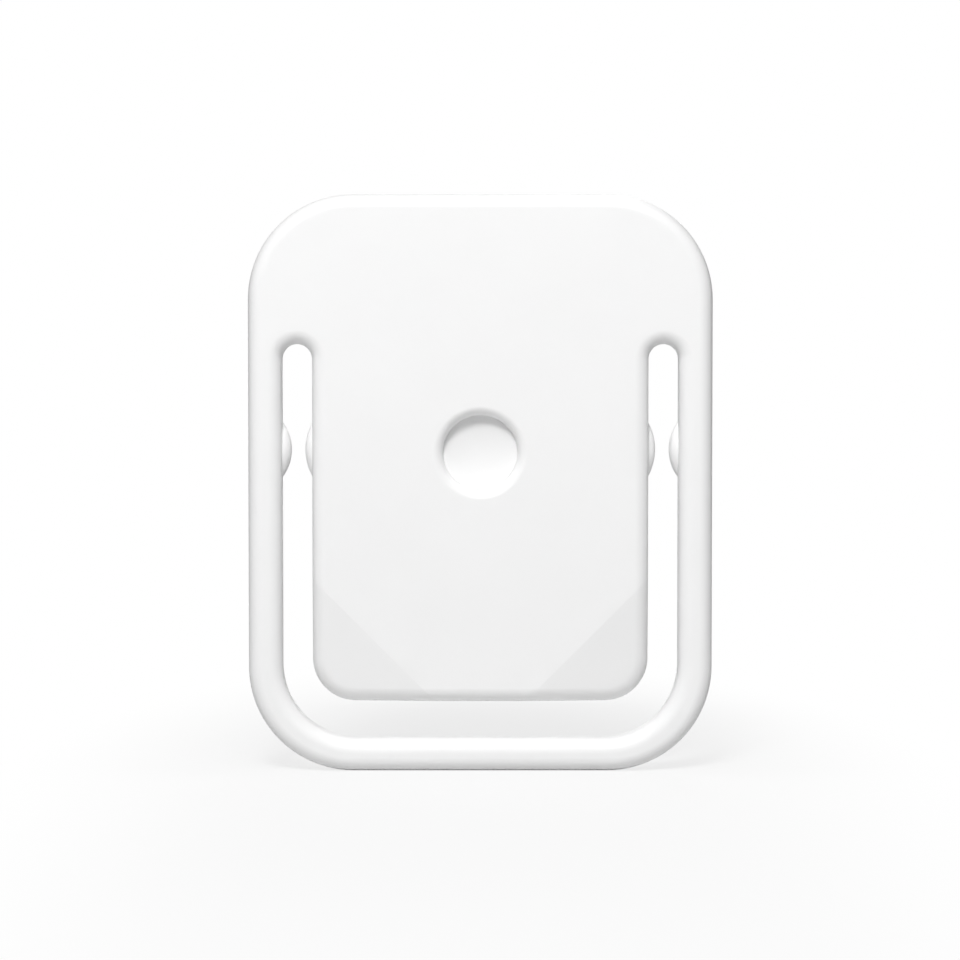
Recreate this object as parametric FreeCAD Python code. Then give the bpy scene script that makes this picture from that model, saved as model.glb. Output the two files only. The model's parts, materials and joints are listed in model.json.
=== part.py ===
import FreeCAD, Part
import math
import os

V = FreeCAD.Vector

# A flat sensor that stands upright on its strap loop. +X is to the right, +Z is up, and the front
# looks along -Y, so the skin side is at +Y. Everything is in millimetres, and z = 0 is the loop's
# lowest edge. Depths are measured from the middle of the thickness.

# Outer form
body_width = 40.0
body_height = 49.7
body_depth = 8.35
top_corner = 9.0  # radius of the head's upper corners, seen from the front
foot_corner = 9.0  # radius of the loop's lower corners
head_height = 12.85  # from the top down to the round tops of the strap slots
head_skirt = 1.4  # how far the head's thick part stops above the slots
skirt_corner = 2.4
skirt_inner_corner = 1.0
front_round = 1.2  # rounding of the front edges
rear_round = 1.4  # rounding of the edges on the skin side

# Strap loop and slots
arm_width = 2.91
bar_height = 2.8
slot_width = 2.6
slot_foot = 3.19  # slot height below the tongue
loop_depth = 3.3
loop_inner_corner = 6.4
tongue_corner = 3.65
slot_round = 1.25  # rounding of the slots' front edges
loop_back_round = 0.8
nub_height = 27.75  # height of the four nubs in the slots
nub_half_length = 2.4
nub_depth = 2.15  # the nubs' middle, behind the front face
nub_sink = 0.15  # how deep a nub's own axis lies in its wall
arm_nub = 0.8  # how far the nubs stand out
tongue_nub = 0.63
facet_leg = 10.7  # the sloped facets' length along the tongue's side and foot
facet_tilt = 7.0  # degrees

# Shell walls
front_wall = 1.2
rear_wall = 1.1
side_wall = 1.3
front_part = 4.775  # depth of the front shell, up to the joint with the rear cover
lip_width = 0.5
lip_length = 0.65
lip_play = 0.05
seal_thickness = 0.25

# Button
button_height = 27.5
bore_radius = 3.2
well_depth = 1.2
well_round = 0.75  # rounding of the well's rim
well_slope = 78.0  # steepness of the well's wall, in degrees
bore_length = 1.05
bore_wall = 1.45
button_play = 0.05
button_travel = 0.3
button_dish = 0.32
flange_overlap = 0.55  # how far the cap's flange reaches behind the bore
flange_thickness = 0.3
flange_play = 0.05
groove_start = 0.25
groove_width = 0.45
seal_wire = 0.19  # radius of the button seal's round section
seal_play = 0.02
tail_radius = 0.9
switch_play = 0.03

# Circuit board
board_thickness = 0.8
board_play = 0.3
board_corner = 2.0
post_radius = 1.2
post_inset = 1.7
pin_radius = 0.5
pin_play = 0.1
stake_radius = 0.95
stake_height = 0.3

# Switch under the button
switch_width = 3.4
switch_corner = 0.3
switch_height = 0.9
switch_floor = 0.1
plunger_radius = 0.9
plunger_proud = 0.32
plunger_play = 0.06

# Chips: width, height and thickness, then the distance right of the board's middle and above its foot.
# Rows: the first and last piece's distance to the right, then the row's distance above the foot.
front_chips = {
    "radio_chip": (5.0, 5.0, 0.85, -5.8, 8.4),
    "sensor_chip": (3.2, 3.2, 0.75, 5.4, 9.2),
    "memory_chip": (3.0, 2.0, 0.6, 5.4, 12.7),
    "chip_antenna": (6.5, 2.0, 1.1, 3.6, 2.0),
    "power_inductor": (2.5, 2.0, 1.0, -8.2, 14.0),
    "ambient_thermistor": (1.0, 0.5, 0.5, -5.4, 2.6),
}
rear_chips = {"charger_chip": (2.2, 2.2, 0.6, -9.4, 15.0)}
crystal_size = (2.0, 1.6, 0.5)
crystal_places = ((2.4, 6.6), (2.4, 9.6))
capacitor_size = (1.0, 0.5, 0.5)
capacitor_rows = ((-9.0, -5.8, 5.0), (4.0, 7.2, 6.4), (-8.6, -7.0, 17.0), (6.4, 8.0, 15.6))
resistor_size = (1.0, 0.5, 0.35)
resistor_rows = ((1.0, 5.8, 4.4), (6.4, 8.0, 17.9), (-8.6, -7.0, 19.6))
row_pitch = 1.6

# Status light behind the thinned front wall
light_drop = 6.5  # below the middle of the button
led_size = (1.6, 0.8, 0.6)
pipe_radius = 1.0
pipe_play = 0.06
pipe_gap = 0.1
window_wall = 0.5

# Battery, in the head
battery_height = 10.8
battery_swell_room = 0.68
battery_side_play = 0.57
battery_top_play = 0.7
battery_corner = 0.9
battery_round = 0.5
foam_thickness = 0.5
foam_margin = 1.0
foam_play = 0.04
guard_board = (12.0, 0.9, 0.6)  # width, depth and height of the battery's own small board
guard_gap = 0.1
lead_spread = 3.2
lead_radius = 0.32
lead_overlap = 1.5

# Sensor on the skin side
sensor_height = 19.5
disc_radius = 7.0
disc_play = 0.06
disc_ledge = 1.5
ledge_depth = 0.55
disc_boss = 0.18
disc_proud = 0.12
disc_round = 0.25
island_margin = 0.7
island_height = 0.25
island_slope = 0.35
ring_width = 1.69
ring_gap = 0.25
ring_sink = 0.2
ring_height = 0.22
flux_size = 6.0
flux_thickness = 0.9
spreader_size = 12.0
spreader_thickness = 0.4
spreader_corner = 1.0
pad_thickness = 0.4
pad_margin = 0.5
skin_thermistor_size = (0.6, 1.0, 0.5)
flex_width = 4.0
flex_thickness = 0.15
flex_rise = 0.3  # height of the ribbon over the spreader
flex_margin = 0.4
flex_slope = 0.5

# Charging contacts and magnets
contact_drop = 3.4  # below the board's upper edge
contact_count = 4
contact_pitch = 2.54
contact_radius = 0.9
contact_flange = 1.15
contact_flange_depth = 0.35
contact_play = 0.04
contact_proud = 0.12
recess_margin = 1.0
recess_depth = 0.3
magnet_gap = 0.84
magnet_radius = 2.0
magnet_thickness = 1.0
magnet_pocket = 0.3
magnet_play = 0.05

# Working lengths
facet_spill = 0.1  # how far a facet's cutter reaches past the tongue's sides
overshoot = 1.0  # how far a cutter runs past the face that it opens
root_depth = 0.1  # how far a boss or lip starts inside the wall that carries it

# Places that follow from the sizes above
front = -body_depth / 2
skin = body_depth / 2
half_width = body_width / 2
slot_outer = half_width - arm_width
tongue_half = slot_outer - slot_width
tongue_foot = bar_height + slot_foot
slot_top = body_height - head_height
skirt = slot_top + head_skirt
loop_back = front + loop_depth
joint = front + front_part
front_inside = front + front_wall
rear_face = skin - disc_proud - ring_height - island_height
rear_inside = rear_face - rear_wall
rabbet_depth = lip_length + seal_thickness + lip_play
ring_radius = disc_radius + ring_gap + ring_width
island_radius = ring_radius + island_margin
disc_back = rear_inside + ledge_depth
flux_back = disc_back - disc_boss
flux_front = flux_back - flux_thickness
spreader_front = flux_front - spreader_thickness
board_back = spreader_front - pad_thickness
board_front = board_back - board_thickness
plunger_top = board_front - switch_height - plunger_proud
facet_drop = facet_leg / math.sqrt(2) * math.tan(math.radians(facet_tilt))
well_floor = front + well_depth
bore_end = well_floor + bore_length
light_height = button_height - light_drop
board_half = tongue_half - side_wall - board_play
board_foot = tongue_foot + side_wall + board_play
battery_top = body_height - side_wall - battery_top_play
battery_foot = battery_top - battery_height
battery_half = tongue_half - side_wall - battery_side_play
battery_front = front_inside + foam_thickness + 2 * foam_play
battery_depth = rear_inside - battery_swell_room - battery_front
guard_foot = battery_foot - guard_gap - guard_board[2]
board_top = guard_foot - board_play
contact_height = board_top - contact_drop
contact_row = (contact_count - 1) * contact_pitch
magnet_spread = contact_row / 2 + contact_flange + magnet_gap + magnet_radius


# Closed outline at depth y through corners (x, z, radius)
def outline(corners, y):
    arcs = []
    for i in range(len(corners)):
        x, z, radius = corners[i]
        before = corners[i - 1]
        after = corners[(i + 1) % len(corners)]
        here = V(x, y, z)
        to_before = (V(before[0], y, before[1]) - here).normalize()
        to_after = (V(after[0], y, after[1]) - here).normalize()
        half = to_before.getAngle(to_after) / 2
        reach = radius / math.tan(half)
        inwards = (to_before + to_after).normalize()
        middle = here + inwards * (radius / math.sin(half) - radius)
        arcs.append((here + to_before * reach, middle, here + to_after * reach))
    edges = []
    for i in range(len(corners)):
        start, middle, end = arcs[i]
        last_end = arcs[i - 1][2]
        if (start - last_end).Length > 1e-6:
            edges.append(Part.LineSegment(last_end, start).toShape())
        if corners[i][2] > 0:
            edges.append(Part.Arc(start, middle, end).toShape())
    return Part.Wire(edges)


def slab(corners, y_start, y_end):
    return Part.Face(outline(corners, y_start)).extrude(V(0, y_end - y_start, 0))


def rectangle(x_middle, z_middle, width, height, corner=0.0):
    x_low = x_middle - width / 2
    x_high = x_middle + width / 2
    z_low = z_middle - height / 2
    z_high = z_middle + height / 2
    places = [(x_low, z_low), (x_high, z_low), (x_high, z_high), (x_low, z_high)]
    return [(x, z, corner) for x, z in places]


def rod(x, z, radius, y_start, y_end):
    return Part.makeCylinder(radius, y_end - y_start, V(x, y_start, z), V(0, 1, 0))


# Solid turned about the line along Y at x, z, from a profile of (radius, y) points
def turned(profile, x, z):
    points = [V(radius, y, 0) for radius, y in profile]
    face = Part.Face(Part.makePolygon(points + points[:1]))
    solid = face.revolve(V(0, 0, 0), V(0, 1, 0), 360)
    solid.translate(V(x, 0, z))
    return solid


def rounded(shape, radius, wanted):
    edges = [edge for edge in shape.Edges if wanted(edge)]
    return shape.makeFillet(radius, edges)


def lies_at(edge, y):
    box = edge.BoundBox
    return abs(box.YMin - y) < 1e-4 and abs(box.YMax - y) < 1e-4


def middle_of(edge):
    return edge.valueAt((edge.FirstParameter + edge.LastParameter) / 2)


def save(name, shape):
    shape = shape.removeSplitter()
    solids = shape.Solids
    if len(solids) == 1:
        shape = solids[0]
    shape.exportStep("parts/" + name + ".step")
    print(name, len(solids), round(shape.Volume, 3), shape.isValid())


# The head and tongue in one outline, each side moved in by inset
def thick_part(inset):
    return [
        (-half_width + inset, body_height - inset, top_corner - inset),
        (half_width - inset, body_height - inset, top_corner - inset),
        (half_width - inset, skirt + inset, max(skirt_corner - inset, 0.3)),
        (tongue_half - inset, skirt + inset, skirt_inner_corner + inset),
        (tongue_half - inset, tongue_foot + inset, max(tongue_corner - inset, 0.3)),
        (-tongue_half + inset, tongue_foot + inset, max(tongue_corner - inset, 0.3)),
        (-tongue_half + inset, skirt + inset, skirt_inner_corner + inset),
        (-half_width + inset, skirt + inset, max(skirt_corner - inset, 0.3)),
    ]


# The U-shaped strap slot that frees the tongue from the loop
def slot_outline():
    return [
        (-slot_outer, slot_top, slot_width / 2),
        (-tongue_half, slot_top, slot_width / 2),
        (-tongue_half, tongue_foot, tongue_corner),
        (tongue_half, tongue_foot, tongue_corner),
        (tongue_half, slot_top, slot_width / 2),
        (slot_outer, slot_top, slot_width / 2),
        (slot_outer, bar_height, loop_inner_corner),
        (-slot_outer, bar_height, loop_inner_corner),
    ]


# Material above the sloped facet on one lower corner of the tongue
def facet_wedge(side):
    outwards = V(side, 0, -1).normalize()
    along = V(-side, 0, -1).normalize()
    crease = V(side * tongue_half, front, tongue_foot + facet_leg) - along * overshoot
    far = crease + outwards * facet_leg
    drop = facet_leg * math.tan(math.radians(facet_tilt))
    air = V(0, overshoot, 0)
    points = [crease - air, crease, far + V(0, drop, 0), far - air]
    face = Part.Face(Part.makePolygon(points + points[:1]))
    wedge = face.extrude(along * (facet_leg * math.sqrt(2) + 2 * overshoot))
    width = 2 * (tongue_half + facet_spill)
    height = 2 * (facet_leg + facet_spill)
    tongue_end = rectangle(0, tongue_foot + facet_leg, width, height, tongue_corner)
    return wedge.common(slab(tongue_end, front - overshoot, front_inside))


# Spindle-shaped nub on a slot wall
def nub(wall_x, out, stand):
    centre_y = front + nub_depth
    radius_middle = stand + nub_sink
    rise = radius_middle - nub_sink
    arc_radius = (nub_half_length ** 2 + rise ** 2) / (2 * rise)
    half_tip = math.sqrt(arc_radius ** 2 - (arc_radius - radius_middle) ** 2)
    arc = Part.Arc(V(0, 0, -half_tip), V(radius_middle, 0, 0), V(0, 0, half_tip)).toShape()
    axis = Part.LineSegment(V(0, 0, half_tip), V(0, 0, -half_tip)).toShape()
    spindle = Part.Face(Part.Wire([arc, axis])).revolve(V(0, 0, 0), V(0, 0, 1), 360)
    spindle.translate(V(wall_x - out * nub_sink, centre_y, nub_height))
    return spindle


# Space of the button's well and bore, open to the front
def button_well():
    slope = math.radians(well_slope)
    wall_depth = well_depth - well_round * (1 - math.cos(slope))
    arc_end = V(bore_radius + wall_depth / math.tan(slope), well_floor - wall_depth, 0)
    rim = arc_end + V(well_round * math.sin(slope), front - arc_end.y, 0)
    centre = rim + V(0, well_round, 0)
    rim_middle = centre + V(-math.sin(slope / 2), -math.cos(slope / 2), 0) * well_round
    deep = bore_end + overshoot
    high = front - overshoot
    corners = [arc_end, V(bore_radius, well_floor, 0), V(bore_radius, deep, 0), V(0, deep, 0)]
    corners += [V(0, high, 0), V(rim.x, high, 0), rim]
    edges = [Part.Arc(rim, rim_middle, arc_end).toShape()]
    for start, end in zip(corners, corners[1:]):
        edges.append(Part.LineSegment(start, end).toShape())
    solid = Part.Face(Part.Wire(edges)).revolve(V(0, 0, 0), V(0, 1, 0), 360)
    solid.translate(V(0, 0, button_height))
    return solid


def board_posts():
    low = board_foot + post_inset
    high = board_top - post_inset
    across = board_half - post_inset
    return [(-across, low), (across, low), (-across, high), (across, high)]


def make_front_shell():
    outer = [
        (-half_width, 0, foot_corner),
        (half_width, 0, foot_corner),
        (half_width, body_height, top_corner),
        (-half_width, body_height, top_corner),
    ]
    slot = slab(slot_outline(), front - overshoot, loop_back + overshoot)
    face_plate = slab(outer, front, loop_back).cut(slot)
    for side in (-1, 1):
        face_plate = face_plate.cut(facet_wedge(side))
    slot_wall = Part.Shell([face for face in slot.Faces if face.BoundBox.YLength > loop_depth])

    def on_slot(edge):
        spot = middle_of(edge)
        near = spot.y < front + front_wall and edge.BoundBox.YLength < front_wall
        return near and slot_wall.distToShape(Part.Vertex(spot))[0] < 1e-4

    def on_outside(edge):
        return lies_at(edge, front) and not on_slot(edge) and abs(edge.BoundBox.XMax) > tongue_half

    face_plate = rounded(face_plate, slot_round, on_slot)
    face_plate = rounded(face_plate, front_round, on_outside)
    face_plate = rounded(face_plate, loop_back_round, lambda edge: lies_at(edge, loop_back))
    thick = slab(thick_part(0), front + slot_round + facet_drop + root_depth, joint)
    shell = face_plate.fuse(thick)
    open_end = joint + overshoot
    cavity = slab(thick_part(side_wall), front_inside, open_end)
    for side in (-1, 1):
        backing = facet_wedge(side)
        backing.translate(V(0, front_wall, 0))
        cavity = cavity.cut(backing)
    shell = shell.cut(cavity)
    shell = shell.cut(slab(thick_part(side_wall - lip_width - lip_play), joint - rabbet_depth, open_end))
    shell = shell.fuse(rod(0, button_height, bore_radius + bore_wall, front_inside - root_depth, bore_end))
    for x, z in board_posts():
        shell = shell.fuse(rod(x, z, post_radius, front_inside - root_depth, board_front))
        shell = shell.fuse(rod(x, z, pin_radius, board_front - root_depth, board_back + stake_height))
        shell = shell.fuse(rod(x, z, stake_radius, board_back, board_back + stake_height))
    shell = shell.cut(button_well())
    shell = shell.cut(rod(0, light_height, pipe_radius + pipe_play, front + window_wall, joint))
    for side in (-1, 1):
        shell = shell.fuse(nub(side * slot_outer, -side, arm_nub))
        shell = shell.fuse(nub(side * tongue_half, side, tongue_nub))
    return shell


def make_rear_cover():
    cover = slab(thick_part(0), joint, rear_face)
    cover = rounded(cover, rear_round, lambda edge: lies_at(edge, rear_face))
    island_face = rear_face + island_height
    foot_radius = island_radius + island_slope
    profile = [(0, rear_inside), (foot_radius, rear_inside), (foot_radius, rear_face)]
    profile += [(island_radius, island_face), (0, island_face)]
    cover = cover.fuse(turned(profile, 0, sensor_height))
    cover = cover.cut(slab(thick_part(side_wall), joint - overshoot, rear_inside))
    lip = slab(thick_part(side_wall - lip_width), joint - lip_length, joint + root_depth)
    cover = cover.fuse(lip.cut(slab(thick_part(side_wall), joint - overshoot, joint + overshoot)))
    cover = cover.cut(rod(0, sensor_height, disc_radius - disc_ledge, rear_inside - overshoot, skin))
    cover = cover.cut(rod(0, sensor_height, disc_radius + disc_play, disc_back, skin))
    cover = cover.cut(rod(0, sensor_height, ring_radius, island_face - ring_sink, skin))
    height = 2 * contact_radius + 2 * recess_margin
    recess = rectangle(0, contact_height, contact_row + height, height, height / 2)
    cover = cover.cut(slab(recess, rear_face - recess_depth, skin))
    hole_radius = contact_radius + contact_play
    for x in contact_places():
        cover = cover.cut(rod(x, contact_height, hole_radius, rear_inside - overshoot, skin))
    for side in (-1, 1):
        pocket = rod(side * magnet_spread, contact_height, magnet_radius + magnet_play,
                     rear_inside - overshoot, rear_inside + magnet_pocket)
        cover = cover.cut(pocket)
    return cover


def make_perimeter_seal():
    start = joint - rabbet_depth + lip_play
    outer = slab(thick_part(side_wall - lip_width), start, start + seal_thickness)
    return outer.cut(slab(thick_part(side_wall - lip_play), start - overshoot, start + overshoot))


def make_button_cap():
    radius = bore_radius - button_play
    groove = radius - 2 * seal_wire - seal_play
    flange_radius = bore_radius + flange_overlap
    flange_start = bore_end + flange_play
    flange_end = flange_start + flange_thickness
    tail_end = plunger_top - switch_play
    profile = [
        (0, well_floor),
        (radius, well_floor),
        (radius, well_floor + groove_start),
        (groove, well_floor + groove_start),
        (groove, well_floor + groove_start + groove_width),
        (radius, well_floor + groove_start + groove_width),
        (radius, flange_start),
        (flange_radius, flange_start),
        (flange_radius, flange_end),
        (tail_radius, flange_end),
        (tail_radius, tail_end),
        (0, tail_end),
    ]
    cap = turned(profile, 0, button_height)
    dish_radius = (radius ** 2 + button_dish ** 2) / (2 * button_dish)
    dish = Part.makeSphere(dish_radius, V(0, well_floor + button_dish - dish_radius, button_height))
    return cap.cut(dish)


def make_button_seal():
    radius = bore_radius - button_play - seal_wire
    middle = well_floor + groove_start + groove_width / 2
    return Part.makeTorus(radius, seal_wire, V(0, middle, button_height), V(0, 1, 0))


def make_switch_base():
    top = board_front - switch_height
    square = rectangle(0, button_height, switch_width, switch_width, switch_corner)
    hole = rod(0, button_height, plunger_radius + plunger_play, top - overshoot, board_front - switch_floor)
    return slab(square, top, board_front).cut(hole)


def make_switch_plunger():
    end = board_front - switch_floor - button_travel - flange_play
    return rod(0, button_height, plunger_radius, plunger_top, end)


def make_main_board():
    middle = (board_top + board_foot) / 2
    corners = rectangle(0, middle, 2 * board_half, board_top - board_foot, board_corner)
    board = slab(corners, board_front, board_back)
    for x, z in board_posts():
        board = board.cut(rod(x, z, pin_radius + pin_play, board_front - overshoot, board_back + overshoot))
    return board


# Block of a part soldered to the board; side is -1 for the front face and 1 for the rear
def soldered(size, x, above_foot, side):
    width, height, thickness = size
    face = board_front if side < 0 else board_back
    far = face + side * thickness
    return slab(rectangle(x, board_foot + above_foot, width, height), min(face, far), max(face, far))


def make_rows(size, rows):
    parts = []
    for first, last, above_foot in rows:
        count = round((last - first) / row_pitch) + 1
        for i in range(count):
            parts.append(soldered(size, first + i * row_pitch, above_foot, -1))
    return Part.Compound(parts)


def make_status_led():
    return soldered(led_size, 0, light_height - board_foot, -1)


def make_light_pipe():
    end = board_front - led_size[2] - pipe_gap
    return rod(0, light_height, pipe_radius, front + window_wall + pipe_gap, end)


def make_battery_pouch():
    middle = (battery_top + battery_foot) / 2
    corners = rectangle(0, middle, 2 * battery_half, battery_height, battery_corner)
    pouch = slab(corners, battery_front, battery_front + battery_depth)
    return rounded(pouch, battery_round, lambda edge: edge.BoundBox.YLength < 1e-4)


def make_battery_foam():
    middle = (battery_top + battery_foot) / 2
    width = 2 * (battery_half - foam_margin)
    start = front_inside + foam_play
    return slab(rectangle(0, middle, width, battery_height - 2 * foam_margin), start, start + foam_thickness)


def make_battery_board():
    width, depth, height = guard_board
    start = board_front - lead_radius - depth / 2
    return slab(rectangle(0, guard_foot + height / 2, width, height), start, start + depth)


def make_battery_lead(side):
    y = board_front - lead_radius
    start = board_top - lead_overlap
    return Part.makeCylinder(lead_radius, guard_foot - start, V(side * lead_spread, y, start), V(0, 0, 1))


def make_contact_disc():
    disc = rod(0, sensor_height, disc_radius, disc_back, skin)
    disc = rounded(disc, disc_round, lambda edge: lies_at(edge, skin))
    return disc.fuse(rod(0, sensor_height, disc_radius - disc_ledge - disc_play, flux_back, disc_back))


def make_sensor_ring():
    low = rear_face + island_height - ring_sink
    high = rear_face + island_height + ring_height
    inner = disc_radius + ring_gap
    outer = ring_radius - disc_play
    rounding = (high - low) / 2
    profile = [(inner, low), (outer, low), (outer, high - rounding), (outer - rounding, high), (inner, high)]
    return turned(profile, 0, sensor_height)


def make_heat_flux_sensor():
    return slab(rectangle(0, sensor_height, flux_size, flux_size), flux_front, flux_back)


def make_heat_spreader():
    square = rectangle(0, sensor_height, spreader_size, spreader_size, spreader_corner)
    return slab(square, spreader_front, flux_front)


def make_thermal_pad():
    width = spreader_size - 2 * pad_margin
    return slab(rectangle(0, sensor_height, width, width), board_back, spreader_front)


def make_skin_thermistor():
    width, height, depth = skin_thermistor_size
    x = (flux_size / 2 + disc_radius - disc_ledge) / 2
    return slab(rectangle(x, sensor_height, width, height), flux_back - depth, flux_back)


# Flat ribbon from the board's rear face up to the heat flux sensor
def make_sensor_flex():
    top = sensor_height - flux_size / 2
    on_board = board_back + flex_thickness / 2
    at_sensor = flux_front + flex_rise
    edge = sensor_height - spreader_size / 2 - flex_margin
    middle_line = [(board_foot + flex_margin, on_board), (edge - flex_slope, on_board)]
    middle_line += [(edge, at_sensor), (top, at_sensor)]
    near = [V(-flex_width / 2, y - flex_thickness / 2, z) for z, y in middle_line]
    far = [V(-flex_width / 2, y + flex_thickness / 2, z) for z, y in middle_line]
    ribbon = Part.makePolygon(near + far[::-1] + near[:1])
    return Part.Face(ribbon).extrude(V(flex_width, 0, 0))


def contact_places():
    return [i * contact_pitch - contact_row / 2 for i in range(contact_count)]


def make_charge_contacts():
    pins = []
    end = rear_face - recess_depth + contact_proud
    for x in contact_places():
        pin = rod(x, contact_height, contact_radius, board_back, end)
        flange = rod(x, contact_height, contact_flange, rear_inside - contact_flange_depth, rear_inside)
        pins.append(pin.fuse(flange).removeSplitter())
    return Part.Compound(pins)


def make_charger_magnets():
    magnets = []
    end = rear_inside + magnet_pocket
    for side in (-1, 1):
        magnets.append(rod(side * magnet_spread, contact_height, magnet_radius, end - magnet_thickness, end))
    return Part.Compound(magnets)


os.makedirs("parts", exist_ok=True)

save("front_shell", make_front_shell())
save("rear_cover", make_rear_cover())
save("perimeter_seal", make_perimeter_seal())
save("button_cap", make_button_cap())
save("button_seal", make_button_seal())
save("switch_base", make_switch_base())
save("switch_plunger", make_switch_plunger())
save("main_board", make_main_board())
for name, (width, height, thickness, x, above_foot) in front_chips.items():
    save(name, soldered((width, height, thickness), x, above_foot, -1))
for name, (width, height, thickness, x, above_foot) in rear_chips.items():
    save(name, soldered((width, height, thickness), x, above_foot, 1))
save("crystals", Part.Compound([soldered(crystal_size, x, z, -1) for x, z in crystal_places]))
save("capacitors", make_rows(capacitor_size, capacitor_rows))
save("resistors", make_rows(resistor_size, resistor_rows))
save("status_led", make_status_led())
save("light_pipe", make_light_pipe())
save("battery_pouch", make_battery_pouch())
save("battery_foam", make_battery_foam())
save("battery_board", make_battery_board())
save("battery_lead_red", make_battery_lead(-1))
save("battery_lead_black", make_battery_lead(1))
save("contact_disc", make_contact_disc())
save("sensor_ring", make_sensor_ring())
save("heat_flux_sensor", make_heat_flux_sensor())
save("heat_spreader", make_heat_spreader())
save("thermal_pad", make_thermal_pad())
save("skin_thermistor", make_skin_thermistor())
save("sensor_flex", make_sensor_flex())
save("charge_contacts", make_charge_contacts())
save("charger_magnets", make_charger_magnets())
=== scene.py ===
import json
import math

import bmesh
import bpy
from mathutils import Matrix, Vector


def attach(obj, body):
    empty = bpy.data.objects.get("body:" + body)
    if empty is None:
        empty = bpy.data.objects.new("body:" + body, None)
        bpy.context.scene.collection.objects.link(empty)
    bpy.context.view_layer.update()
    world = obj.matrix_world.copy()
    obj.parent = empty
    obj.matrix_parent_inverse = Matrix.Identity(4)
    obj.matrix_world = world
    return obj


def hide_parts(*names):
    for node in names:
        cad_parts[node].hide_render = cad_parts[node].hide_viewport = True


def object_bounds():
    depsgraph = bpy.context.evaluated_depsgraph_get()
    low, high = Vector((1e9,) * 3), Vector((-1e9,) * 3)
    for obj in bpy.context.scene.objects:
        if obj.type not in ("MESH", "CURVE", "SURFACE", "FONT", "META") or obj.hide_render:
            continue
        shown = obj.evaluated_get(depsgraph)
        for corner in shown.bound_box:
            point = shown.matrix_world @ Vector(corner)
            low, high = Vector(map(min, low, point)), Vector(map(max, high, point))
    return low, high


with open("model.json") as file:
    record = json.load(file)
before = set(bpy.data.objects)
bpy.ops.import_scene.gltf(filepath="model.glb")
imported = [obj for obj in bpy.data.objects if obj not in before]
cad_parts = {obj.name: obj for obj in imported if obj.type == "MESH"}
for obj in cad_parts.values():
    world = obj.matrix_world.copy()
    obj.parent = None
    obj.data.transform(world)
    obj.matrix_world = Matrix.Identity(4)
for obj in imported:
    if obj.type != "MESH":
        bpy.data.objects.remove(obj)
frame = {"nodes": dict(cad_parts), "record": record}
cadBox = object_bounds()
nodes = frame["nodes"]
mm = 0.001
tiny = 1e-4  # mm
overcut = 1.0  # mm, how far a cutting form stands out of what it cuts
overlap = 0.1  # mm, how far a joined form goes into its neighbour
print("frame loaded:", len(nodes), "nodes")

cameraView = {
    "pixelsPerMm": 11.639,  # on the front face
    "pictureWidth": 960,
    "distance": 300.0,  # from the front face, in mm as all lengths here
    "height": 25.2,  # of the point of the front face that it looks at
    "sideways": -0.025,
    "pitch": 2.74,  # degrees downwards
    "sensor": 36.0,
    "nearest": 10.0,
    "farthest": 20000.0,
}


def makeCamera(v):
    data = bpy.data.cameras.new("camera")
    data.sensor_width = v["sensor"]
    data.lens = v["distance"] * v["pixelsPerMm"] / v["pictureWidth"] * v["sensor"]
    data.clip_start = v["nearest"] * mm
    data.clip_end = v["farthest"] * mm
    camera = bpy.data.objects.new("camera", data)
    bpy.context.scene.collection.objects.link(camera)
    front = cadBox[0].y / mm
    pitch = math.radians(v["pitch"])
    away = v["distance"] * math.cos(pitch)
    rise = v["distance"] * math.sin(pitch)
    camera.location = (v["sideways"] * mm, (front - away) * mm, (v["height"] + rise) * mm)
    camera.rotation_euler = (math.radians(90) - pitch, 0, 0)
    bpy.context.scene.camera = camera


makeCamera(cameraView)
print("camera set")

# Sizes of the moulded body in mm, seen from the front: x to the right, z up, y into the part
body = {
    "width": 40.0,
    "height": 49.7,
    "front": -4.175,
    "joint": 0.6,  # between the front moulding and the rear one
    "rearFace": 3.585,
    "topCorner": 9.0,
    "footCorner": 9.0,
    "armWidth": 2.91,
    "barHeight": 2.8,
    "slotWidth": 2.6,
    "slotFoot": 3.19,
    "slotTop": 36.85,
    "skirt": 38.25,  # foot of the head's thick part
    "skirtCorner": 2.4,
    "skirtInnerCorner": 1.0,
    "loopDepth": 3.3,
    "loopInnerCorner": 6.4,
    "tongueCorner": 3.65,
    "frontRound": 1.2,
    "slotRound": 1.25,
    "loopBackRound": 0.8,
    "rearRound": 1.4,
    "frontWall": 1.2,
    "rearWall": 1.1,
    "sideWall": 1.3,
    "lipWidth": 0.5,
    "lipLength": 0.65,
    "lipPlay": 0.05,
    "lipChamfer": 0.06,
    "rabbetDepth": 0.95,
    "facetLeg": 10.7,
    "facetTilt": 8.5,  # degrees
    "facetMargin": 0.5,
    "jointRound": 0.12,
    "leastCorner": 0.02,
    "cornerSteps": 24,
    "roundSteps": 8,
}
halfWidth = body["width"] / 2
slotOuter = halfWidth - body["armWidth"]
slotTopRound = body["slotWidth"] / 2 - tiny
tongueHalf = slotOuter - body["slotWidth"]
tongueFoot = body["barHeight"] + body["slotFoot"]
loopBack = body["front"] + body["loopDepth"]
frontInside = body["front"] + body["frontWall"]
rearInside = body["rearFace"] - body["rearWall"]
facetSlope = math.tan(math.radians(body["facetTilt"]))


# Outlines are corners with a radius: (x, z, radius)
def turnOf(before, here, after):
    first = Vector((here[0] - before[0], here[1] - before[1])).normalized()
    second = Vector((after[0] - here[0], after[1] - here[1])).normalized()
    return first, second, first.x * second.y - first.y * second.x


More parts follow.
